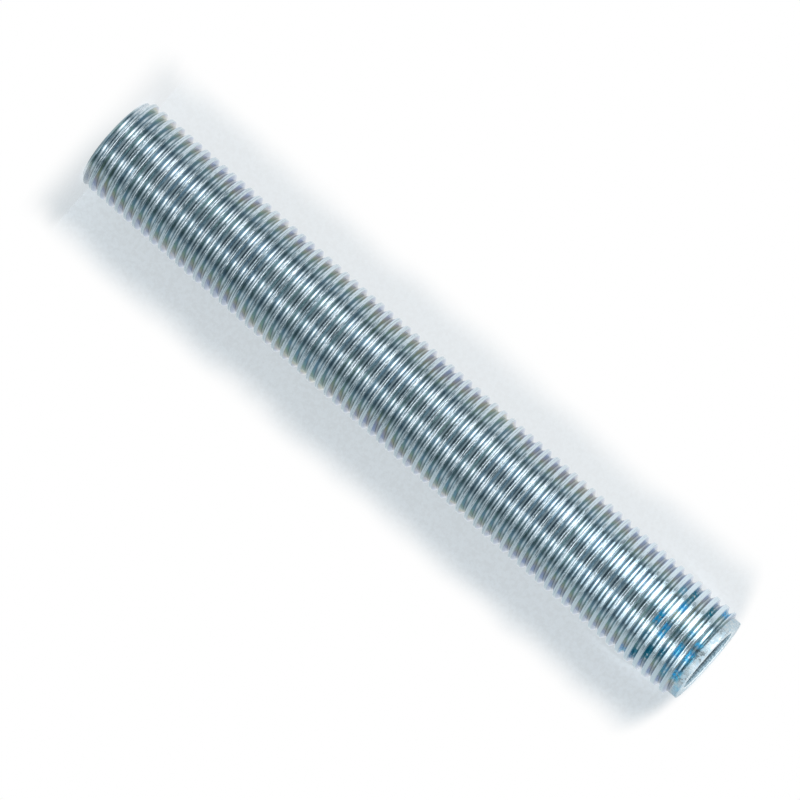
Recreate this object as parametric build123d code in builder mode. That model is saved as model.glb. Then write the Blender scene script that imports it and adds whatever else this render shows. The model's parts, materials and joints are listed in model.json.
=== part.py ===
"""Lamp nipple: a straight steel tube, threaded outside from end to end, with an open bore for the cord.

All sizes are in millimetres. The nipple stands on one end, with its axis along Z and the middle of its
lower end face at the origin. Its outside is the cylinder that the thread crests lie on, which is what
slides through a lamp's clearance hole. The end chamfers go down to the root of the thread, so that a
nut starts squarely on either end.
"""

import os

from build123d import *

# Overall sizes
LENGTH = 76.2  # from end face to end face
CREST_DIAMETER = 10.39  # over the thread crests
BORE_DIAMETER = 6.5  # the passage for the cord

# Ends
THREAD_DEPTH = 0.5  # from crest to root, and so the size of the end chamfers
BORE_DEBURR = 0.25  # the small chamfer at each mouth of the bore

os.makedirs("parts", exist_ok=True)


def end_rims(part):
    """The circular edges of both end faces, in groups from the bore's rims to the outside rims."""
    return part.faces().filter_by(Axis.Z).edges().group_by(SortBy.RADIUS)


with BuildPart() as nipple:
    # The tube's section, drawn on the lower end face and carried up to the other
    with BuildSketch():
        Circle(CREST_DIAMETER / 2)
        Circle(BORE_DIAMETER / 2, mode=Mode.SUBTRACT)
    extrude(amount=LENGTH)

    # Both ends alike: the outside is chamfered down to the thread's root, the bore only deburred
    chamfer(end_rims(nipple)[-1], length=THREAD_DEPTH)
    chamfer(end_rims(nipple)[0], length=BORE_DEBURR)

nipple.part.label = "nipple"
export_step(nipple.part, "parts/nipple.step")
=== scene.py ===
"""A zinc-plated lamp nipple standing on its end, dressed over its packed construction model.

The construction model is a plain tube over the thread crests. This script puts the threaded tube in its
place, with the finish of the plating, and sets the camera, the lights, the floor and a backdrop close
behind it. Everything is in metres, in the frame of the construction model: Z runs up the tube's axis.
"""

from __future__ import annotations

import json
import logging
import math
from dataclasses import dataclass, field
from enum import Enum

import bmesh
import bpy
from mathutils import Matrix, Vector

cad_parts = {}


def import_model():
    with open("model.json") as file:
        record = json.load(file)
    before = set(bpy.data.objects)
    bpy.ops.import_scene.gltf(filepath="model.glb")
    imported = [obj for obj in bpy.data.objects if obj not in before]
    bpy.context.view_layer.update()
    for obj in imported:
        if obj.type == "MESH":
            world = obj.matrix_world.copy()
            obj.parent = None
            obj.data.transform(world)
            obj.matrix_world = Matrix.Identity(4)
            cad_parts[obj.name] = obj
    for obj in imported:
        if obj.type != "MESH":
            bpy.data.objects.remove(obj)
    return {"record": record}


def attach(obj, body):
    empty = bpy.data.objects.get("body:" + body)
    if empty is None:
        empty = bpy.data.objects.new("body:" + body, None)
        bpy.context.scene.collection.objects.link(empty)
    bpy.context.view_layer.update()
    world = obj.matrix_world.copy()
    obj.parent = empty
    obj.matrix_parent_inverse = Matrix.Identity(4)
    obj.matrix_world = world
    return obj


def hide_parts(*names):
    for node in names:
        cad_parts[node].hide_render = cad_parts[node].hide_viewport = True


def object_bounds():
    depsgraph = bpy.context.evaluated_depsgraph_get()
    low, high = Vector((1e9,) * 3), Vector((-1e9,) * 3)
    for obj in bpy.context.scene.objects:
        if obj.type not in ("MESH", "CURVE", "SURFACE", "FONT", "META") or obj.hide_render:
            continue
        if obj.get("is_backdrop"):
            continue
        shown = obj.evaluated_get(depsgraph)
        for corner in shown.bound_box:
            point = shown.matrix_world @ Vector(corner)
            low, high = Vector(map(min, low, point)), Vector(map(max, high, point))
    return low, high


LOG = logging.getLogger("lamp_nipple")
MM = 0.001


class Ramp(Enum):
    """How the colours of a ramp run into each other."""

    STRAIGHT = "LINEAR"
    SOFT = "EASE"


@dataclass
class NodeSheet:
    """Adds nodes to one node tree, from left to right.

    Args:
        tree: The node tree of a material or of the world.
        column: How many nodes it has been given, which sets the next one's place.
    """

    tree: bpy.types.NodeTree
    column: int = 0

    def add(self, kind: str, sockets: dict | None = None, **settings: object) -> bpy.types.Node:
        """Adds a node.

        Args:
            kind: The node's type name, without the leading ShaderNode.
            sockets: Input name or index to a constant value or to the output socket that feeds it.
            settings: The node's own settings, such as operation.

        Returns:
            The new node.
        """
        node = self.tree.nodes.new(f"ShaderNode{kind}")
        self.column += 1
        node.location = (self.column * 180, 0)
        for name, value in settings.items():
            setattr(node, name, value)
        for name, value in (sockets or {}).items():
            if isinstance(value, bpy.types.NodeSocket):
                self.tree.links.new(value, node.inputs[name])
            else:
                node.inputs[name].default_value = value
        return node

    def math(self, operation: str, *values: object) -> bpy.types.NodeSocket:
        """Adds a math node fed by constants or sockets and returns its output."""
        return self.add("Math", dict(enumerate(values)), operation=operation).outputs[0]

    def span(
        self,
        value: bpy.types.NodeSocket,
        start: float,
        end: float,
        low: object = 0.0,
        high: object = 1.0,
    ) -> bpy.types.NodeSocket:
        """Maps a value smoothly from one range to another.

        Args:
            value: The socket to map.
            start: The value that becomes low.
            end: The value that becomes high.
            low: The result at start and before it.
            high: The result at end and after it.

        Returns:
            The mapped value's socket.
        """
        sockets = {"Value": value, "From Min": start, "From Max": end, "To Min": low, "To Max": high}
        return self.add("MapRange", sockets, interpolation_type="SMOOTHSTEP").outputs["Result"]

    def ramp(
        self,
        value: bpy.types.NodeSocket,
        stops: dict,
        style: Ramp = Ramp.STRAIGHT,
    ) -> bpy.types.NodeSocket:
        """Adds a colour ramp.

        Args:
            value: The socket that runs along the ramp, from 0 to 1.
            stops: Place along the ramp to a colour of three values.
            style: How the colours run into each other.

        Returns:
            The ramp's colour socket.
        """
        node = self.add("ValToRGB", {"Fac": value})
        elements = node.color_ramp.elements
        node.color_ramp.interpolation = style.value
        places = sorted(stops)
        elements[0].position, elements[1].position = places[0], places[-1]
        for place in places[1:-1]:
            elements.new(place)
        for element, place in zip(elements, places):
            element.color = (*stops[place], 1.0)
        return node.outputs["Color"]

    def mix(self, amount: object, first: object, second: object, blend: str = "MIX") -> object:
        """Mixes two colours.

        Args:
            amount: How much of the second colour, as a constant or a socket.
            first: The first colour, as a constant or a socket.
            second: The second colour, as a constant or a socket.
            blend: The blend mode.

        Returns:
            The mixed colour's socket.
        """
        node = self.add("Mix", {0: amount}, data_type="RGBA", blend_type=blend)
        for socket, value in ((node.inputs[6], first), (node.inputs[7], second)):
            if isinstance(value, bpy.types.NodeSocket):
                self.tree.links.new(value, socket)
            else:
                socket.default_value = (*value, 1.0)
        return node.outputs[2]


@dataclass(frozen=True)
class ThreadForm:
    """The shape of the rolled thread: broad crests, each with a bead along either side, and round valleys.

    Args:
        turns: How many turns the length holds.
        depth: From crest to root, in metres.
        crest_middle: Where the crest's middle lies across the pitch, from 0 at one root to 1 at the next.
        crest_share: The crest's share of the pitch, measured over its shoulders.
        root_share: The root's share of the pitch.
        bead_share: How far each bead's top lies from the middle of the crest, as a share of the pitch.
        groove: How deep the groove between the two beads is, in metres.
        rolloff: How far the shoulders drop outside the beads, as a share of the depth.
        crest_rows: How many faces lie across the crest.
        flank_rows: How many lie across either flank.
        columns: How many faces one turn has round it.
    """

    turns: float = 67.5
    depth: float = 0.5 * MM
    crest_middle: float = 0.50
    crest_share: float = 0.40
    root_share: float = 0.14
    bead_share: float = 0.115
    groove: float = 0.028 * MM
    rolloff: float = 0.17
    crest_rows: int = 17
    flank_rows: int = 3
    columns: int = 56

    def places(self) -> list:
        """Sets out the faces across the pitch.

        Returns:
            The places where they meet, from 0 at one root to 1 at the next.
        """
        root, half = self.root_share / 2, self.crest_share / 2
        low, high = self.crest_middle - half, self.crest_middle + half
        places = [0.0]
        for start, end, rows in ((root, low, self.flank_rows), (low, high, self.crest_rows)):
            places += [start + (end - start) * row / rows for row in range(rows)]
        places += [high + (1 - root - high) * row / self.flank_rows for row in range(self.flank_rows + 1)]
        return places + [1.0]

    def drop(self, across: float) -> float:
        """How far the surface lies below the crest, in metres.

        Args:
            across: Place across the pitch, from 0 at one root to 1 at the next.

        Returns:
            The drop, from 0 at the beads to the thread's depth at the root.
        """
        away = abs(across - self.crest_middle)
        shoulder = self.crest_share / 2
        if away < self.bead_share:
            share = away / self.bead_share
            return self.groove * (1 - share * share * (3 - 2 * share))
        if away < shoulder:
            share = (away - self.bead_share) / (shoulder - self.bead_share)
            return self.depth * self.rolloff * share * share
        room = self.crest_middle if across < self.crest_middle else 1 - self.crest_middle
        foot = room - self.root_share / 2
        fall = min((away - shoulder) / (foot - shoulder), 1.0)
        return self.depth * (self.rolloff + (1 - self.rolloff) * fall)


@dataclass(frozen=True)
class DyeSpot:
    """A spot of blue dye left in the thread.

    Args:
        heading: Where it lies round the tube, in degrees from -Y towards +X.
        height: How far below the upper end face its middle lies, in millimetres.
        reach: Half its length round the tube, in degrees.
        amount: How strong it is, from 0 to 1.
        teal: True for the darker green-blue, False for the bright blue.
    """

    heading: float
    height: float
    reach: float
    amount: float = 1.0
    teal: bool = False


# The dye, ring by ring of valleys from the upper end down, and then the spots behind
DYE_SPOTS = (
    DyeSpot(-7, 1.17, 5, 0.9),
    DyeSpot(12, 1.17, 8, 1.0),
    DyeSpot(39, 1.17, 8, 1.0),
    DyeSpot(-72, 1.17, 13, 0.9),
    DyeSpot(58, 0.35, 7, 0.6),
    DyeSpot(74, 0.30, 5, 0.4),
    DyeSpot(-51, 2.3, 12, 1.0, True),
    DyeSpot(-12, 2.3, 6, 0.6),
    DyeSpot(13, 2.3, 9, 1.0),
    DyeSpot(47, 2.3, 13, 0.5),
    DyeSpot(30, 3.43, 9, 0.9, True),
    DyeSpot(-3, 3.43, 12, 0.4, True),
    DyeSpot(-55, 4.56, 13, 1.0, True),
    DyeSpot(-31, 4.56, 8, 0.9),
    DyeSpot(6, 4.56, 11, 0.9),
    DyeSpot(42, 4.56, 16, 1.0, True),
    DyeSpot(-1, 5.69, 10, 1.0),
    DyeSpot(26, 5.69, 6, 0.7, True),
    DyeSpot(60, 5.69, 13, 1.0, True),
    DyeSpot(-50, 5.69, 7, 0.5),
    DyeSpot(74, 6.82, 9, 0.7),
    DyeSpot(-4, 6.82, 5, 0.3, True),
    DyeSpot(150, 2.3, 18, 0.8),
    DyeSpot(-140, 3.43, 14, 0.8, True),
    DyeSpot(120, 4.56, 12, 0.7, True),
    DyeSpot(-170, 1.17, 12, 0.9),
    DyeSpot(-110, 5.69, 9, 0.8),
)


# The plate's faint interference colours, in the order in which they follow each other round the tube
TINTS = {
    0.10: (0.59, 0.71, 0.77),
    0.22: (0.62, 0.75, 0.71),
    0.34: (0.59, 0.72, 0.79),
    0.50: (0.68, 0.78, 0.68),
    0.62: (0.84, 0.77, 0.60),
    0.74: (0.86, 0.75, 0.76),
    0.90: (0.74, 0.74, 0.87),
}


@dataclass(frozen=True)
class Surface:
    """What the finish reads at a point: where the point lies on the tube, and the noises there.

    Args:
        east: How far it lies along X, in metres.
        height: How high it lies above the floor, in metres.
        share: Its place across the pitch, from 0 at one root to 1 at the next.
        radius: How far it lies from the axis, in metres.
        below: How far it lies below the crests, as a share of the thread's depth.
        sideways: How near it is to either side of the tube, from 0 along the middle to 0.85.
        calm: How plainly the fine lines show: fully along the middle and least at the sides.
        fresh_and_painted_light: How clean the plate is and how much light is painted on it, from 0 in the
            lower parts to 1 near the upper end.
        marks: The rolling lines and the dashes along the thread together.
        dashes: The dashes alone.
        patches: Longer and broader patches along the thread.
        broken: A noise of a third of a millimetre.
        fine: A noise of a seventh of a millimetre.
        broad: A noise of several millimetres.
    """

    east: bpy.types.NodeSocket
    height: bpy.types.NodeSocket
    share: bpy.types.NodeSocket
    radius: bpy.types.NodeSocket
    below: bpy.types.NodeSocket
    sideways: bpy.types.NodeSocket
    calm: bpy.types.NodeSocket
    fresh_and_painted_light: bpy.types.NodeSocket
    marks: bpy.types.NodeSocket
    dashes: bpy.types.NodeSocket
    patches: bpy.types.NodeSocket
    broken: bpy.types.NodeSocket
    fine: bpy.types.NodeSocket
    broad: bpy.types.NodeSocket


@dataclass(frozen=True)
class ZincPlate:
    """Bright zinc plate with a blue-grey passivation, streaked along the thread.

    Args:
        crest_radius: The radius over the crests, in metres.
        depth: The thread's depth, in metres.
        length: The tube's length, in metres.
        name: The material's name.
        fresh_and_painted_light: The plate's colour near the upper end: cleaner plate, painted brighter as
            if more light fell there.
        bright: Its colour elsewhere.
        dull: Its colour in the duller streaks.
        shadow: The colour of the painted shade that the valleys go towards.
        valley: How far the root is painted towards it at the tube's sides, from 0 to 1.
        turned: The duller colour of the torn cut end.
        foot: The pale colour painted on the matt sides of the lower end, a painted reflection.
        azure: The bright dye's two colours.
        mixed: The bright dye's colour where the teal has run into it.
        teal: The teal dye's colour.
        inner_radius: Inside this radius, in metres, the plate is matt: the bore and its mouths.
        lip: How far down from the upper end face the cut end is matt as well, in metres.
        lit: How far down the bore its wall is painted pale as if lit, in metres.
        butt: How far up from the lower end face the plate is matt and painted pale at the tube's sides, in
            metres.
        groove_shade: Where the painted shade line in the groove between the beads lies, as a share of the
            pitch.
        fresh_and_painted_light_reach: How far below the upper end the plate begins to turn cleaner and
            painted brighter, and is so, in metres.
        silky_reach: How far below it the plate begins to turn silky and is so, in metres.
        wear: How much likelier the worn streaks are near the lower end.
        uneven: How deep the uneven rolling is, in metres.
        ridges: How deep the rolled lines are, in metres.
        specks: How deep the specks are, in metres.
    """

    crest_radius: float
    depth: float
    length: float
    name: str = "zinc_plate"
    fresh_and_painted_light: tuple = (0.80, 0.92, 1.0)
    bright: tuple = (0.76, 0.86, 0.93)
    dull: tuple = (0.25, 0.35, 0.41)
    shadow: tuple = (0.07, 0.095, 0.105)
    valley: float = 0.46
    turned: tuple = (0.60, 0.76, 0.86)
    foot: tuple = (0.86, 0.92, 0.97)
    azure: tuple = ((0.0, 0.38, 0.84), (0.12, 0.76, 1.0))
    mixed: tuple = (0.0, 0.42, 0.66)
    teal: tuple = (0.0, 0.28, 0.42)
    inner_radius: float = 3.6 * MM
    lip: float = 0.75 * MM
    lit: float = 0.40 * MM
    butt: float = 0.90 * MM
    groove_shade: float = 0.50
    fresh_and_painted_light_reach: tuple = (24.0 * MM, 4.5 * MM)
    silky_reach: tuple = (6.5 * MM, 2.0 * MM)
    wear: float = 0.035
    uneven: float = 0.13 * MM
    ridges: float = 0.10 * MM
    specks: float = 0.012 * MM

    def _lines(self, sheet: NodeSheet, lay: object, along: float, across: float) -> bpy.types.NodeSocket:
        """Adds noise stretched along the thread.

        Args:
            sheet: The sheet to add to.
            lay: The thread's own coordinates.
            along: How many streaks one turn holds, end to end.
            across: How many streaks one pitch holds, side by side.

        Returns:
            The noise's socket.
        """
        stretched = sheet.add("Mapping", {"Vector": lay, "Scale": (along, across, 1.0)}).outputs[0]
        return sheet.add("TexNoise", {"Vector": stretched, "Scale": 1.0, "Detail": 2.0}).outputs[0]

    def _read(self, sheet: NodeSheet) -> Surface:
        """Adds the nodes that say where a point lies, and the noises.

        Args:
            sheet: The sheet to add to.

        Returns:
            What the rest of the finish reads.
        """
        lay = sheet.add("UVMap", uv_map="thread").outputs["UV"]
        place = sheet.add("TexCoord").outputs["Object"]
        parts = sheet.add("SeparateXYZ", {0: place}).outputs
        square = [sheet.math("POWER", parts[name], 2.0) for name in "XY"]
        radius = sheet.math("SQRT", sheet.math("ADD", *square))
        sideways = sheet.math("DIVIDE", sheet.math("ABSOLUTE", parts["X"]), self.crest_radius)
        sideways = sheet.math("MULTIPLY", sheet.math("POWER", sideways, 4.0), 0.85)
        starts, full = (self.length - reach for reach in self.fresh_and_painted_light_reach)
        lines = self._lines(sheet, lay, 2.5, 9.0)
        dashes = self._lines(sheet, lay, 60.0, 11.0)
        marks = sheet.math("ADD", sheet.math("MULTIPLY", lines, 0.6), sheet.math("MULTIPLY", dashes, 0.4))
        noises = []
        for scale, detail in ((2800.0, 2.0), (7000.0, 2.0), (150.0, 1.0)):
            sockets = {"Vector": place, "Scale": scale, "Detail": detail}
            noises.append(sheet.add("TexNoise", sockets).outputs[0])
        return Surface(
            east=parts["X"],
            height=parts["Z"],
            share=sheet.add("SeparateXYZ", {0: lay}).outputs["Y"],
            radius=radius,
            below=sheet.math("DIVIDE", sheet.math("SUBTRACT", self.crest_radius, radius), self.depth),
            sideways=sideways,
            calm=sheet.span(sideways, 0.0, 0.5, 1.0, 0.25),
            fresh_and_painted_light=sheet.span(parts["Z"], starts, full),
            marks=marks,
            dashes=dashes,
            patches=self._lines(sheet, lay, 6.0, 0.8),
            broken=noises[0],
            fine=noises[1],
            broad=noises[2],
        )

    def _skin(self, sheet: NodeSheet, at: Surface) -> tuple:
        """Adds the plate's colour, painted brighter near the upper end, with the worn streaks on the
        crests and a painted shade line in the groove between the beads.

        Args:
            sheet: The sheet to add to.
            at: What the finish reads.

        Returns:
            The colour, and how much the worn streaks and the groove's painted shade dull the plate there,
            from 0 to 1.
        """
        aged = sheet.span(at.height, self.length * 0.20, self.length * 0.60, -self.wear, 0.0)
        aged = sheet.math("ADD", sheet.math("MULTIPLY", at.fresh_and_painted_light, 0.08), aged)
        clean = sheet.math("ADD", at.marks, aged)
        worn = sheet.math("MULTIPLY", self._crest(sheet, at), sheet.span(clean, 0.48, 0.40))
        worn = sheet.math("MULTIPLY", worn, at.calm)
        # Painted light: towards the upper end the plate is painted brighter and bluer, as well as being
        # cleaner.
        skin = sheet.mix(at.fresh_and_painted_light, self.bright, self.fresh_and_painted_light)
        skin = sheet.mix(worn, skin, self.dull)
        # Painted shade: a dark line in the groove between the beads, broken where the streaks run clean.
        groove_shade = sheet.math("ABSOLUTE", sheet.math("SUBTRACT", at.share, self.groove_shade))
        groove_shade = sheet.span(groove_shade, 0.022, 0.040, 0.85, 0.0)
        groove_shade = sheet.math("MULTIPLY", groove_shade, sheet.span(clean, 0.60, 0.48))
        skin = sheet.mix(sheet.math("MULTIPLY", groove_shade, at.calm), skin, self.dull)
        return skin, sheet.math("MAXIMUM", groove_shade, worn)

    def _crest(self, sheet: NodeSheet, at: Surface) -> bpy.types.NodeSocket:
        """Adds the mask of the crests and returns it."""
        return sheet.span(at.below, 0.16, 0.30, 1.0, 0.0)

    def _tint(self, sheet: NodeSheet, at: Surface, skin: object) -> object:
        """Tints the flanks with faint interference colours, which change round the tube.

        Args:
            sheet: The sheet to add to.
            at: What the finish reads.
            skin: The plate's own colour.

        Returns:
            The tinted colour.
        """
        drift = sheet.math("MULTIPLY", at.broad, 1.2)
        drift = sheet.math("ADD", drift, sheet.math("MULTIPLY", at.fresh_and_painted_light, 0.25))
        hue = sheet.math("ADD", at.sideways, sheet.math("SUBTRACT", drift, 0.38))
        # Painted light: towards the upper end the tints are paled towards white.
        faint = sheet.math("MULTIPLY", at.fresh_and_painted_light, 0.10)
        tint = sheet.mix(faint, sheet.ramp(hue, TINTS), (1.0, 1.0, 1.0))
        flank = sheet.span(at.below, 0.82, 0.96, 1.0, 0.0)
        flank = sheet.math("MULTIPLY", sheet.span(at.below, 0.16, 0.34), flank)
        hued = sheet.span(at.sideways, 0.1, 0.5)
        hued = sheet.math("MULTIPLY", sheet.span(at.below, 0.03, 0.22), hued)
        hued = sheet.math("MAXIMUM", flank, hued)
        return sheet.mix(hued, skin, sheet.mix(1.0, skin, tint, "MULTIPLY"))

    def _shade(self, sheet: NodeSheet, at: Surface, tinted: object) -> object:
        """Paints shade into the valleys: the lower flank more than the upper one, the flanks less towards
        the +X side, and the root at the tube's sides.

        Args:
            sheet: The sheet to add to.
            at: What the finish reads.
            tinted: The plate's colour so far.

        Returns:
            The darkened colour.
        """
        beside = sheet.span(at.sideways, 0.05, 0.30)
        starts, ends = sheet.span(at.share, 0.06, 0.10), sheet.span(at.share, 0.94, 0.90)
        slope = sheet.math("MAXIMUM", sheet.math("MULTIPLY", starts, ends), beside)
        slope = sheet.math("MULTIPLY", slope, sheet.span(at.below, 0.20, 0.50))
        lower = sheet.span(at.sideways, 0.0, 0.5, 0.50, 0.42)
        upper = sheet.span(at.sideways, 0.0, 0.4, 0.40, 0.12)
        amount = sheet.span(at.share, 0.45, 0.55, lower, upper)
        # Painted shade is weaker on the flanks towards the +X side of the tube.
        east = sheet.span(at.east, self.crest_radius * 0.5, self.crest_radius * 0.8, 1.0, 0.4)
        rooted = sheet.math("MULTIPLY", sheet.span(at.below, 0.75, 0.92), beside)
        rooted = sheet.math("MULTIPLY", rooted, self.valley)
        amount = sheet.math("MAXIMUM", sheet.math("MULTIPLY", amount, east), rooted)
        return sheet.mix(sheet.math("MULTIPLY", slope, amount), tinted, self.shadow)

    def _matt(self, sheet: NodeSheet, grain: object, height: object) -> tuple:
        """Adds the colours of the cut end and of the bore: painted light on the wall just inside its
        mouth, and painted shade below that.

        Args:
            sheet: The sheet to add to.
            grain: Fine noise.
            height: The height above the floor.

        Returns:
            The colour of the cut end and that of the bore.
        """
        spread = sheet.span(grain, 0.35, 0.65)
        # Painted shade deep in the bore, and painted light on its wall just inside the mouth.
        deep = sheet.mix(spread, (0.07, 0.10, 0.12), (0.16, 0.22, 0.26))
        wall = sheet.mix(spread, (0.14, 0.23, 0.29), (0.42, 0.55, 0.63))
        pale = sheet.mix(spread, (0.70, 0.81, 0.86), (0.95, 0.98, 1.0))
        edge = self.length - self.lit
        mouth = sheet.span(height, edge - 0.07 * MM, edge + 0.03 * MM)
        rim = sheet.span(height, self.length - 0.10 * MM, self.length - 0.03 * MM)
        return pale, sheet.mix(rim, sheet.mix(mouth, deep, wall), pale)

    def _ends(self, sheet: NodeSheet, at: Surface, plate: object, pale: object) -> tuple:
        """Adds the torn, matt cut end, and the matt sides of the lower end with their painted pale
        reflection.

        Args:
            sheet: The sheet to add to.
            at: What the finish reads.
            plate: The plate's colour so far.
            pale: The cut end's paler colour.

        Returns:
            The colour, and how matt the plate is there, from 0 to 1.
        """
        torn = sheet.span(at.broken, 0.44, 0.56)
        side = sheet.span(at.sideways, 0.04, 0.30)
        above = sheet.math("GREATER_THAN", at.height, self.length - self.lip)
        face = sheet.math("GREATER_THAN", at.height, self.length - 0.02 * MM)
        plain = sheet.math("MAXIMUM", side, sheet.span(torn, 0.0, 1.0, 0.95, 0.25))
        plain = sheet.math("MULTIPLY", above, sheet.math("MAXIMUM", face, plain))
        cut = sheet.mix(sheet.math("MULTIPLY", plain, 0.9), plate, sheet.mix(torn, self.turned, pale))
        # Painted reflection: the matt sides of the lower end are painted pale.
        foot = sheet.math("MULTIPLY", side, sheet.span(at.height, self.butt, self.butt * 0.6))
        return sheet.mix(foot, cut, self.foot), sheet.math("MAXIMUM", plain, foot)

    def _dye(self, sheet: NodeSheet, at: Surface, plate: object) -> tuple:
        """Lays the blue dye over the plate, where the tube's dye attribute says.

        Args:
            sheet: The sheet to add to.
            at: What the finish reads.
            plate: The plate's colour so far.

        Returns:
            The colour, and how much dye there is, from 0 to 1.
        """
        dye = sheet.add("Attribute", attribute_name="dye").outputs["Color"]
        split = sheet.add("SeparateColor", {0: dye}).outputs
        gaps = sheet.span(at.broken, 0.38, 0.50, 0.15, 1.0)
        ragged = sheet.math("MULTIPLY", sheet.span(at.dashes, 0.30, 0.40), gaps)
        bright, teal = (sheet.math("MULTIPLY", split[channel], ragged) for channel in (0, 1))
        azure = sheet.mix(sheet.span(at.fine, 0.40, 0.60), *self.azure)
        azure = sheet.mix(sheet.span(at.patches, 0.50, 0.60, 0.0, 0.6), azure, self.mixed)
        dyed = sheet.mix(teal, sheet.mix(bright, plate, azure), self.teal)
        return dyed, sheet.math("MAXIMUM", bright, teal)

    def _relief(self, sheet: NodeSheet, at: Surface) -> bpy.types.NodeSocket:
        """Adds the relief: uneven rolling, then the rolled lines, then the specks.

        Args:
            sheet: The sheet to add to.
            at: What the finish reads.

        Returns:
            The relief's normal.
        """
        height = sheet.math("ADD", sheet.math("MULTIPLY", self._crest(sheet, at), 0.7), 0.3)
        height = sheet.math("MULTIPLY", height, sheet.span(at.fresh_and_painted_light, 0.0, 1.0, 1.0, 0.7))
        lines = sheet.math("MULTIPLY", at.marks, sheet.math("MULTIPLY", height, at.calm))
        uneven = {"Height": at.patches, "Strength": 1.0, "Distance": self.uneven}
        rolled = {"Height": lines, "Strength": 1.0, "Distance": self.ridges}
        rolled["Normal"] = sheet.add("Bump", uneven).outputs[0]
        specked = {"Height": at.fine, "Strength": 0.5, "Distance": self.specks}
        specked["Normal"] = sheet.add("Bump", rolled).outputs[0]
        return sheet.add("Bump", specked).outputs[0]

    def make(self) -> bpy.types.Material:
        """Builds the material.

        Returns:
            The material.
        """
        material = bpy.data.materials.new(self.name)
        material.use_nodes = True
        sheet = NodeSheet(material.node_tree)
        links = material.node_tree.links
        shader = material.node_tree.nodes["Principled BSDF"]
        at = self._read(sheet)
        skin, duller = self._skin(sheet, at)
        plate = self._shade(sheet, at, self._tint(sheet, at, skin))
        pale, bore = self._matt(sheet, at.fine, at.height)
        cut, plain = self._ends(sheet, at, plate, pale)
        dyed, wet = self._dye(sheet, at, cut)
        inner = sheet.math("LESS_THAN", at.radius, self.inner_radius)
        plain = sheet.math("MAXIMUM", inner, sheet.math("MULTIPLY", plain, 0.75))
        links.new(sheet.mix(inner, dyed, bore), shader.inputs["Base Color"])
        dull = sheet.math("MAXIMUM", sheet.math("MULTIPLY", wet, 0.6), sheet.math("MULTIPLY", plain, 0.8))
        links.new(sheet.math("SUBTRACT", 1.0, dull), shader.inputs["Metallic"])
        matt = sheet.math("MULTIPLY", duller, 0.15)
        matt = sheet.math("MAXIMUM", matt, sheet.math("MULTIPLY", plain, 0.50))
        starts, full = (self.length - reach for reach in self.silky_reach)
        silky = sheet.math("MULTIPLY", sheet.span(at.height, starts, full), 0.09)
        silky = sheet.math("ADD", silky, sheet.math("MULTIPLY", at.fresh_and_painted_light, 0.06))
        silky = sheet.math("ADD", silky, 0.03)
        links.new(sheet.math("ADD", matt, silky), shader.inputs["Roughness"])
        links.new(self._relief(sheet, at), shader.inputs["Normal"])
        return material


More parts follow.
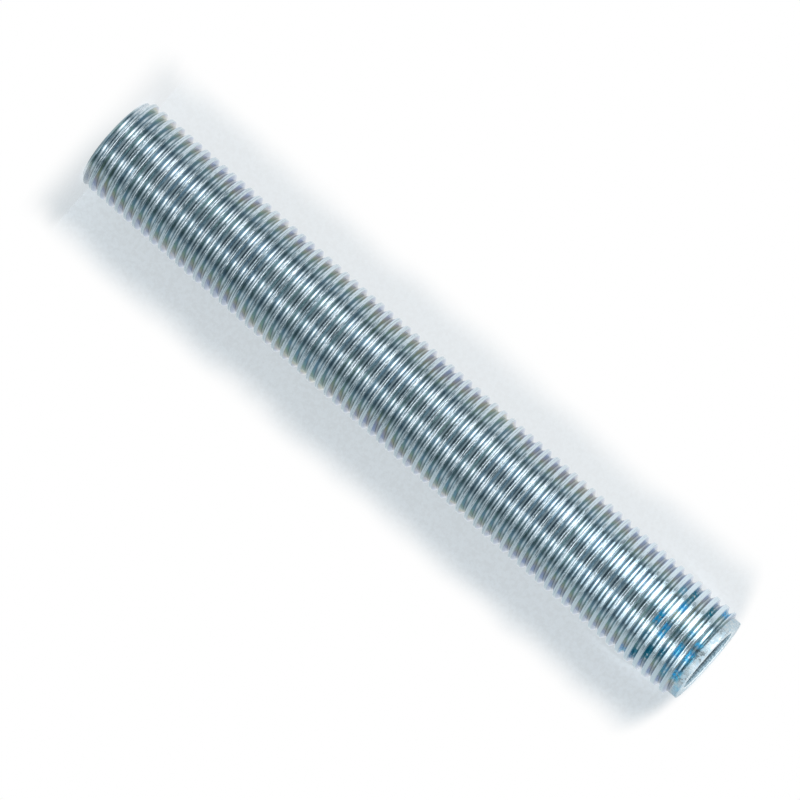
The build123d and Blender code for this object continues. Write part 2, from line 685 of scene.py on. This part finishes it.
@dataclass
class Nipple:
    """The threaded tube.

    Args:
        length: From end face to end face.
        crest_radius: Over the thread crests.
        bore_radius: Of the passage.
        deburr: The small chamfer at each mouth of the bore.
        lip: The plain length turned down to the root at the upper end.
        shoulder: How steeply the thread comes up from the lip, in radius for height.
        form: The thread's shape.
        start: The height of a root in front of the tube's X axis, in pitches.
        flat: How far down from the upper end the crests are flatter, in metres.
        blend: The further length over which they turn so, in metres.
        flatness: How much flatter they are there, from 0 to 1.
        dyed: How far down from the upper end any dye lies, in metres.
        valley: Half of how high a spot of dye is, in millimetres.
        crease: Edges sharper than this stay crisp, in degrees.
    """

    length: float
    crest_radius: float
    bore_radius: float
    deburr: float = 0.25 * MM
    lip: float = 0.75 * MM
    shoulder: float = 2.5
    form: ThreadForm = field(default_factory=ThreadForm)
    start: float = 0.71
    flat: float = 5.5 * MM
    blend: float = 4.0 * MM
    flatness: float = 0.60
    dyed: float = 9.0 * MM
    valley: float = 0.5
    crease: float = 42.0

    @property
    def pitch(self) -> float:
        """The thread's advance in one turn."""
        return self.length / self.form.turns

    @property
    def face_radius(self) -> float:
        """The outside of an end face, where the chamfer has taken the thread away."""
        return self.crest_radius - self.form.depth

    def _spin_turn(self, mesh: bmesh.types.BMesh) -> None:
        """Spins one pitch of the thread's outline through a single turn, rising by one pitch.

        Args:
            mesh: The mesh to shape.
        """
        begin = (self.start - 2) * self.pitch
        chain = []
        for share in self.form.places():
            spot = (self.crest_radius - self.form.drop(share), 0, begin + share * self.pitch)
            chain.append(mesh.verts.new(spot))
        for low, high in zip(chain, chain[1:]):
            mesh.edges.new((low, high))
        bmesh.ops.spin(
            mesh,
            geom=mesh.verts[:] + mesh.edges[:],
            cent=(0, 0, 0),
            axis=(0, 0, 1),
            dvec=(0, 0, self.pitch / self.form.columns),
            angle=math.tau,
            steps=self.form.columns,
            use_merge=False,
            use_duplicate=False,
        )

    def _stack_turns(self, mesh: bmesh.types.BMesh) -> None:
        """Stacks copies of the one turn, doubling each time, until they reach past both ends.

        Args:
            mesh: The mesh to shape.
        """
        wanted = math.ceil(self.form.turns) + 4
        turns = 1
        while turns < wanted:
            copy = bmesh.ops.duplicate(mesh, geom=mesh.verts[:] + mesh.edges[:] + mesh.faces[:])["geom"]
            verts = [item for item in copy if isinstance(item, bmesh.types.BMVert)]
            rise = min(turns, wanted - turns) * self.pitch
            bmesh.ops.translate(mesh, verts=verts, vec=(0, 0, rise))
            turns = min(turns * 2, wanted)
        bmesh.ops.remove_doubles(mesh, verts=mesh.verts, dist=self.pitch / 500)

    def _flatten(self, mesh: bmesh.types.BMesh) -> None:
        """Flattens the crests of the last turns before the upper end, where the dies bit less.

        Args:
            mesh: The mesh to shape.
        """
        brow = self.form.depth * self.form.rolloff * 1.001
        for vert in mesh.verts:
            share = (vert.co.z - self.length + self.flat + self.blend) / self.blend
            share = min(max(share, 0.0), 1.0) * self.flatness
            radius = vert.co.xy.length
            drop = self.crest_radius - radius
            if share > 0 and drop <= brow:
                vert.co.xy *= (radius + drop * share) / radius

    def _cut_ends(self, mesh: bmesh.types.BMesh) -> None:
        """Cuts the spun thread square at both ends and chamfers it down to its root.

        Args:
            mesh: The mesh to shape.
        """
        for height, way in ((0.0, -1), (self.length, 1)):
            bmesh.ops.bisect_plane(
                mesh,
                geom=mesh.verts[:] + mesh.edges[:] + mesh.faces[:],
                dist=1e-8,
                plane_co=(0, 0, height),
                plane_no=(0, 0, way),
                clear_outer=True,
            )
        for vert in mesh.verts:
            upper = self.shoulder * (self.length - self.lip - vert.co.z)
            room = self.face_radius + max(min(vert.co.z, upper), 0)
            radius = vert.co.xy.length
            if radius > room:
                vert.co.xy *= room / radius

    def _close(self, mesh: bmesh.types.BMesh) -> None:
        """Adds the end faces and the bore, with its deburred mouths.

        Args:
            mesh: The mesh to shape.
        """
        rims = [edge for edge in mesh.edges if edge.is_boundary]
        low_rim = [edge for edge in rims if edge.verts[0].co.z < self.length / 2]
        high_rim = [edge for edge in rims if edge.verts[0].co.z > self.length / 2]
        mouth_radius = self.bore_radius + self.deburr
        sides = self.form.columns
        made = bmesh.ops.create_circle(mesh, cap_ends=False, segments=sides, radius=mouth_radius)
        ring = list({edge for vert in made["verts"] for edge in vert.link_edges})
        bmesh.ops.triangle_fill(mesh, edges=low_rim + ring, normal=(0, 0, 1))
        stations = (
            (self.deburr, self.bore_radius),
            (self.length - self.deburr, self.bore_radius),
            (self.length, mouth_radius),
        )
        for height, radius in stations:
            grown = bmesh.ops.extrude_edge_only(mesh, edges=ring)["geom"]
            verts = [item for item in grown if isinstance(item, bmesh.types.BMVert)]
            ring = [item for item in grown if isinstance(item, bmesh.types.BMEdge)]
            for vert in verts:
                vert.co.xy *= radius / vert.co.xy.length
                vert.co.z = height
        bmesh.ops.triangle_fill(mesh, edges=high_rim + ring, normal=(0, 0, 1))
        bmesh.ops.recalc_face_normals(mesh, faces=mesh.faces)

    def _lay_out(self, mesh: bmesh.types.BMesh) -> None:
        """Gives each face its place along the thread: turns along it in U, the share of the pitch in V.

        Args:
            mesh: The mesh to shape.
        """
        layer = mesh.loops.layers.uv.new("thread")
        for face in mesh.faces:
            middle = face.calc_center_median()
            heading = math.atan2(middle.y, middle.x)
            turn = math.floor(middle.z / self.pitch - heading / math.tau - self.start)
            for loop in face.loops:
                spot = loop.vert.co
                swing = math.atan2(spot.y, spot.x) - heading
                swing = (heading + (swing + math.pi) % math.tau - math.pi) / math.tau
                loop[layer].uv = (turn + swing, spot.z / self.pitch - swing - self.start - turn)

    def _dye(self, mesh: bmesh.types.BMesh) -> None:
        """Paints where the dye lies: bright blue in the red channel and teal in the green one.

        Args:
            mesh: The mesh to shape.
        """
        layer = mesh.verts.layers.float_color.new("dye")
        for vert in mesh.verts:
            heading = math.degrees(math.atan2(vert.co.x, -vert.co.y))
            below = (self.length - vert.co.z + self.pitch * heading / 360) / MM
            radius = vert.co.xy.length
            vert[layer] = (0, 0, 0, 1)
            if below > self.dyed / MM or radius < (self.bore_radius + self.face_radius) / 2:
                continue
            depth = min(max((self.crest_radius - radius) / self.form.depth, 0), 1)
            amounts = [0.0, 0.0]
            for spot in DYE_SPOTS:
                swing = (heading - spot.heading + 180) % 360 - 180
                fade = math.exp(-((swing / spot.reach) ** 4) - ((below - spot.height) / self.valley) ** 6)
                amounts[spot.teal] = max(amounts[spot.teal], spot.amount * fade * min(depth * 2.5, 1))
            vert[layer] = (amounts[0], amounts[1], 0, 1)

    def build(self) -> bpy.types.Object:
        """Builds the tube as one closed mesh and dresses it.

        Returns:
            Its object.
        """
        mesh = bmesh.new()
        self._spin_turn(mesh)
        self._stack_turns(mesh)
        self._flatten(mesh)
        self._cut_ends(mesh)
        self._close(mesh)
        self._lay_out(mesh)
        self._dye(mesh)
        data = bpy.data.meshes.new("threaded_tube")
        mesh.to_mesh(data)
        mesh.free()
        data.shade_smooth()
        data.set_sharp_from_angle(angle=math.radians(self.crease))
        piece = bpy.data.objects.new("threaded_tube", data)
        bpy.context.scene.collection.objects.link(piece)
        plate = ZincPlate(self.crest_radius, self.form.depth, self.length, lip=self.lip)
        data.materials.append(plate.make())
        return piece


@dataclass(frozen=True)
class Paper:
    """White paper: near the tube it takes the tube's shadow, lightened by a painted white glow, and it
    runs out to plain white.

    Args:
        name: The material's name.
        top: The height from which the shading runs out upwards, in metres.
        near: How far from the middle of the shading the paper is still fully shaded, in metres.
        far: How far from there it is plain white, in metres.
        middle: Where the middle of the shading lies along X, in metres.
        front: How far in front of the tube's axis the shading runs on before it fades, in metres.
        back: How far behind the tube's axis it runs on, in metres.
        haste: How many times faster the shading runs out along Y than along X.
        fade: Where along Y the shading begins to run out towards the front, and where it has, in metres.
        top_haste: How many times faster it runs out upwards than along X.
        painted_glow_lifts: The least share of painted white glow on the -X and +X sides, which lightens
            the shadow, more on the -X side.
        albedo: The paper's colour where it is shaded.
        edge: The bluish white of the painted glow where the shading first runs out.
    """

    name: str
    top: float
    near: float = 7.4 * MM
    far: float = 11.2 * MM
    middle: float = 0.50 * MM
    front: float = 1.0 * MM
    back: float = 5.1 * MM
    haste: float = 1.6
    fade: tuple = (-50.0 * MM, -51.0 * MM)
    top_haste: float = 3.5
    painted_glow_lifts: tuple = (0.70, 0.47)
    albedo: tuple = (0.76, 0.88, 0.98)
    edge: tuple = (0.955, 0.985, 1.0)

    def _away(self, sheet: NodeSheet, place: bpy.types.NodeSocket) -> bpy.types.NodeSocket:
        """Measures how far a place lies from the middle of the shading, by its own measure each way.

        Args:
            sheet: The sheet to add to.
            place: The place, in the paper's own coordinates.

        Returns:
            The distance's socket, in metres, a little ragged.
        """
        spot = sheet.add("SeparateXYZ", {0: place}).outputs
        side = sheet.math("SUBTRACT", spot["X"], self.middle)
        before = sheet.math("MAXIMUM", sheet.math("SUBTRACT", -self.front, spot["Y"]), 0.0)
        behind = sheet.math("MAXIMUM", sheet.math("SUBTRACT", spot["Y"], self.back), 0.0)
        beyond = sheet.math("MULTIPLY", sheet.math("ADD", before, behind), self.haste)
        over = sheet.math("MAXIMUM", sheet.math("SUBTRACT", spot["Z"], self.top), 0.0)
        over = sheet.math("MULTIPLY", over, self.top_haste)
        square = sheet.math("POWER", side, 2.0)
        for part in (beyond, over):
            square = sheet.math("ADD", square, sheet.math("POWER", part, 2.0))
        grain = sheet.add("TexNoise", {"Vector": place, "Scale": 120.0, "Detail": 2.0}).outputs[0]
        ragged = sheet.span(grain, 0.3, 0.7, -0.3 * MM, 0.3 * MM)
        return sheet.math("ADD", sheet.math("SQRT", square), ragged)

    def make(self) -> bpy.types.Material:
        """Builds the material.

        Returns:
            The material.
        """
        material = bpy.data.materials.new(self.name)
        material.use_nodes = True
        tree = material.node_tree
        tree.nodes.clear()
        sheet = NodeSheet(tree)
        place = sheet.add("TexCoord").outputs["Object"]
        spot = sheet.add("SeparateXYZ", {0: place}).outputs
        # Painted light: a share of white glow lightens the shadow, more on the -X side than on the +X
        # side.
        lift = sheet.span(spot["X"], -3.0 * MM, 3.0 * MM, *self.painted_glow_lifts)
        away = self._away(sheet, place)
        plain = sheet.span(away, self.near, self.far, lift, 1.0)
        plain = sheet.span(spot["Y"], self.fade[0], self.fade[1], plain, 1.0)
        fibre = sheet.add("TexNoise", {"Vector": place, "Scale": 2400.0, "Detail": 2.0}).outputs[0]
        cloudy = tuple(0.86 * value for value in self.albedo)
        tone = sheet.ramp(fibre, {0.36: cloudy, 0.60: self.albedo})
        shaded = sheet.add("BsdfDiffuse", {"Color": tone}).outputs[0]
        paling = sheet.ramp(plain, {0.5: self.edge, 1.0: (1.0, 1.0, 1.0)})
        white = sheet.add("Emission", {"Color": paling, "Strength": 1.0}).outputs[0]
        seen = sheet.add("LightPath").outputs["Is Camera Ray"]
        bare = sheet.math("MULTIPLY", plain, seen)
        blend = sheet.add("MixShader", {0: bare, 1: shaded, 2: white}).outputs[0]
        clear = sheet.add("BsdfTransparent").outputs[0]
        reverse = sheet.add("NewGeometry").outputs["Backfacing"]
        sided = sheet.add("MixShader", {0: reverse, 1: blend, 2: clear}).outputs[0]
        sheet.add("OutputMaterial", {"Surface": sided})
        return material


@dataclass
class Ground:
    """A flat sheet of paper that the picture takes as its background.

    Args:
        paper: The finish.
        lean: Degrees the sheet is turned up about the X axis: 0 lies flat and 90 stands facing -Y.
        offset: How far the sheet is moved along its own back, in metres.
        size: Half its side, in metres.
    """

    paper: Paper
    lean: float = 0.0
    offset: float = 0.0
    size: float = 6.0

    def build(self) -> bpy.types.Object:
        """Builds the sheet.

        Returns:
            Its object.
        """
        mesh = bmesh.new()
        bmesh.ops.create_grid(mesh, x_segments=1, y_segments=1, size=self.size)
        bmesh.ops.rotate(mesh, verts=mesh.verts, matrix=Matrix.Rotation(math.radians(self.lean), 3, "X"))
        back = Matrix.Rotation(math.radians(self.lean), 3, "X") @ Vector((0, 0, -self.offset))
        bmesh.ops.translate(mesh, verts=mesh.verts, vec=back)
        data = bpy.data.meshes.new(self.paper.name)
        mesh.to_mesh(data)
        mesh.free()
        ground = bpy.data.objects.new(self.paper.name, data)
        bpy.context.scene.collection.objects.link(ground)
        data.materials.append(self.paper.make())
        ground.visible_glossy = False
        ground.visible_diffuse = False
        ground.visible_shadow = False
        ground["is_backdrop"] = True
        return ground


@dataclass
class LightTent:
    """The light all round: two tall soft boxes in front, dark between and beside them, and pale behind.

    Args:
        bands: Degrees round from -Y towards +X, to how bright the light from there is.
        low: How bright the light from well below the level is, in front.
        dip: How much of the level light is left somewhat above the level.
        front: How bright the light from high above is on the -Y side.
        back: How bright it is on the +Y side.
        shade: The colour of the dark parts, against white for the brightest.
    """

    bands: dict
    low: float = 1.40
    dip: float = 0.40
    front: float = 0.25
    back: float = 0.40
    shade: tuple = (0.69, 0.90, 0.97)

    def _colour(self, level: float, brightest: float) -> tuple:
        """Returns the colour of a level of light, scaled so that the brightest is 1."""
        share = min(level, 1.0)
        return tuple((tone + (1.0 - tone) * share) * level / brightest for tone in self.shade)

    def build(self) -> bpy.types.World:
        """Builds the world.

        Returns:
            The world.
        """
        world = bpy.data.worlds.new("light_tent")
        world.use_nodes = True
        bpy.context.scene.world = world
        tree = world.node_tree
        tree.nodes.clear()
        sheet = NodeSheet(tree)
        way = sheet.add("TexCoord").outputs["Generated"]
        parts = sheet.add("SeparateXYZ", {0: way}).outputs
        heading = sheet.math("ARCTAN2", parts["X"], sheet.math("MULTIPLY", parts["Y"], -1.0))
        along = sheet.math("ADD", sheet.math("DIVIDE", heading, math.tau), 0.5)
        brightest = max(self.bands.values())
        stops = {}
        for degrees, level in self.bands.items():
            stops[degrees / 360 + 0.5] = self._colour(level, brightest)
        level_light = sheet.ramp(along, stops, Ramp.SOFT)
        dark = (0.0, 0.0, 0.0)
        behind = sheet.span(parts["Y"], -0.35, 0.05)
        dimming = sheet.span(parts["Z"], 0.08, 0.34, 0.0, 1.0 - self.dip)
        dimming = sheet.math("MULTIPLY", dimming, sheet.span(behind, 0.0, 1.0, 1.0, 0.2))
        dimmed = sheet.mix(dimming, level_light, dark)
        low_light = sheet.mix(behind, self._colour(self.low, brightest), level_light)
        lower = sheet.mix(sheet.span(parts["Z"], -0.74, -0.54, 1.0, 0.0), dimmed, low_light)
        front, back = self._colour(self.front, brightest), self._colour(self.back, brightest)
        above = sheet.mix(sheet.span(parts["Y"], -0.05, 0.30), front, back)
        light = sheet.mix(sheet.span(parts["Z"], 0.70, 0.88), lower, above)
        glow = sheet.add("Background", {"Color": light, "Strength": brightest}).outputs[0]
        white = sheet.add("Background", {"Color": (1.0, 1.0, 1.0, 1.0), "Strength": 1.0}).outputs[0]
        seen = sheet.add("LightPath").outputs["Is Camera Ray"]
        both = sheet.add("MixShader", {0: seen, 1: glow, 2: white}).outputs[0]
        sheet.add("OutputWorld", {"Surface": both})
        return world


@dataclass
class MouthLamp:
    """A small spot lamp in front of the tube's upper mouth and above it, which lights its matt parts.

    Args:
        height: The tube's length, in metres.
        away: How far the lamp is from the mouth, in metres.
        rise: Degrees above level, as seen from the mouth.
        reach: The radius it lights at the mouth, in metres.
        power: In watts.
        blend: How much of its beam's rim is soft, from 0 to 1.
        bulb: The radius of its bulb, in metres.
    """

    height: float
    away: float = 0.10
    rise: float = 50.0
    reach: float = 4.7 * MM
    power: float = 0.50
    blend: float = 0.15
    bulb: float = 2.0 * MM

    def build(self) -> bpy.types.Object:
        """Builds the lamp.

        Returns:
            Its object.
        """
        lamp = bpy.data.lights.new("mouth_lamp", "SPOT")
        lamp.energy = self.power
        lamp.spot_size = 2 * math.atan(self.reach / self.away)
        lamp.spot_blend = self.blend
        lamp.shadow_soft_size = self.bulb
        rig = bpy.data.objects.new("mouth_lamp", lamp)
        bpy.context.scene.collection.objects.link(rig)
        rise = math.radians(self.rise)
        away = Vector((0, -math.cos(rise), math.sin(rise)))
        aim = (-away).to_track_quat("-Z", "Y").to_matrix().to_4x4()
        rig.matrix_world = Matrix.Translation(Vector((0, 0, self.height)) + away * self.away) @ aim
        rig.visible_glossy = False
        return rig


@dataclass
class SoftBox:
    """A small soft box close in front of the tube's upper end, seen only in its shine.

    Args:
        heading: Where it stands round the tube, in degrees from -Y towards +X.
        width: Its width, in metres.
        height: Its height, in metres.
        middle: How high its middle is, in metres.
        level: How bright it is, where plain white is 1.
        away: How far it stands from the tube's axis, in metres.
        tone: Its colour.
    """

    heading: float
    width: float
    height: float
    middle: float
    level: float
    away: float = 20.0 * MM
    tone: tuple = (0.86, 0.96, 1.0)

    def build(self) -> bpy.types.Object:
        """Builds the soft box.

        Returns:
            Its object.
        """
        box = bpy.data.lights.new("soft_box", "AREA")
        box.shape = "RECTANGLE"
        box.size, box.size_y = self.width, self.height
        box.energy = 4.0 * self.level * self.width * self.height
        box.color = self.tone
        rig = bpy.data.objects.new("soft_box", box)
        bpy.context.scene.collection.objects.link(rig)
        heading = math.radians(self.heading)
        away = Vector((math.sin(heading), -math.cos(heading), 0))
        aim = (-away).to_track_quat("-Z", "Y").to_matrix().to_4x4()
        rig.matrix_world = Matrix.Translation(away * self.away + Vector((0, 0, self.middle))) @ aim
        rig.visible_camera = False
        rig.visible_diffuse = False
        return rig


@dataclass
class Camera:
    """The camera, turned so that the tube runs down across the picture to its near, upper end.

    Args:
        height: The tube's length, which stands up from the floor.
        distance: From the tube's middle, in metres.
        elevation: Degrees above level.
        roll: Degrees the camera is turned about its own axis.
        scale: Of a millimetre at the tube's middle, in 800ths of the picture's side.
        shift: The lens shift that sets the tube's middle in the picture.
    """

    height: float
    distance: float = 0.67
    elevation: float = 8.3
    roll: float = 131.30
    scale: float = 10.45
    shift: tuple = (-0.0119, -0.0020)

    def build(self) -> bpy.types.Object:
        """Builds the camera and makes it the scene's own.

        Returns:
            Its object.
        """
        lens = bpy.data.cameras.new("camera")
        lens.sensor_width = 36.0
        lens.lens = self.scale * self.distance / MM * lens.sensor_width / 800
        lens.shift_x, lens.shift_y = self.shift
        lens.clip_start, lens.clip_end = 0.01, 20.0
        rig = bpy.data.objects.new("camera", lens)
        bpy.context.scene.collection.objects.link(rig)
        rise = math.radians(self.elevation)
        away = Vector((0, -math.cos(rise), math.sin(rise)))
        upright = (-away).to_track_quat("-Z", "Y").to_matrix().to_4x4()
        turn = Matrix.Rotation(math.radians(self.roll), 4, "Z")
        middle = Vector((0, 0, self.height / 2))
        rig.matrix_world = Matrix.Translation(middle + away * self.distance) @ upright @ turn
        bpy.context.scene.camera = rig
        return rig


# How bright the level light is, by degrees round from -Y towards +X
TENT_BANDS = {
    -180: 0.88,
    -150: 0.84,
    -122: 0.85,
    -96: 0.81,
    -86: 0.76,
    -78: 0.44,
    -72: 0.36,
    -64: 0.52,
    -54: 0.95,
    -38: 1.90,
    -26: 1.05,
    -14: 0.34,
    0: 0.28,
    8: 0.27,
    18: 0.44,
    31: 1.48,
    46: 0.66,
    56: 0.42,
    66: 0.28,
    76: 0.35,
    86: 0.54,
    98: 0.57,
    122: 0.62,
    150: 0.67,
    180: 0.88,
}


def main() -> None:
    """Builds the scene in order."""
    logging.basicConfig(level=logging.INFO, format="%(name)s: %(message)s")
    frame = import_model()
    cad_low, cad_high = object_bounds()
    bore = next(m for m in frame["record"]["mounts"] if m["name"] == "bore")
    nipple = Nipple(
        length=cad_high.z - cad_low.z,
        crest_radius=min(cad_high.x, cad_high.y),
        bore_radius=bore["dims"]["r_mm"] * MM,
    )
    piece = nipple.build()
    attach(piece, "root")
    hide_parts("nipple")
    LOG.info("%s: %d faces", piece.name, len(piece.data.polygons))
    backdrop = Paper("backdrop", top=nipple.length - 3.3 * MM, top_haste=3.0)
    fade = (4.8 * MM, -17.3 * MM)
    # The floor takes a larger share of painted white glow, so that its shading meets the backdrop's.
    floor = Paper("floor", top=nipple.length, front=60.0 * MM, fade=fade, painted_glow_lifts=(0.75, 0.55))
    Ground(backdrop, lean=90, offset=nipple.crest_radius).build()
    Ground(floor).build()
    LightTent(TENT_BANDS).build()
    MouthLamp(nipple.length).build()
    beside = nipple.length - 7.5 * MM
    SoftBox(heading=-36, width=19.0 * MM, height=19.0 * MM, middle=beside, level=0.52).build()
    SoftBox(heading=40, width=14.0 * MM, height=19.0 * MM, middle=beside, level=0.32).build()
    Camera(nipple.length).build()
    bpy.context.scene.view_settings.view_transform = "Standard"


if __name__ == "__main__":
    main()
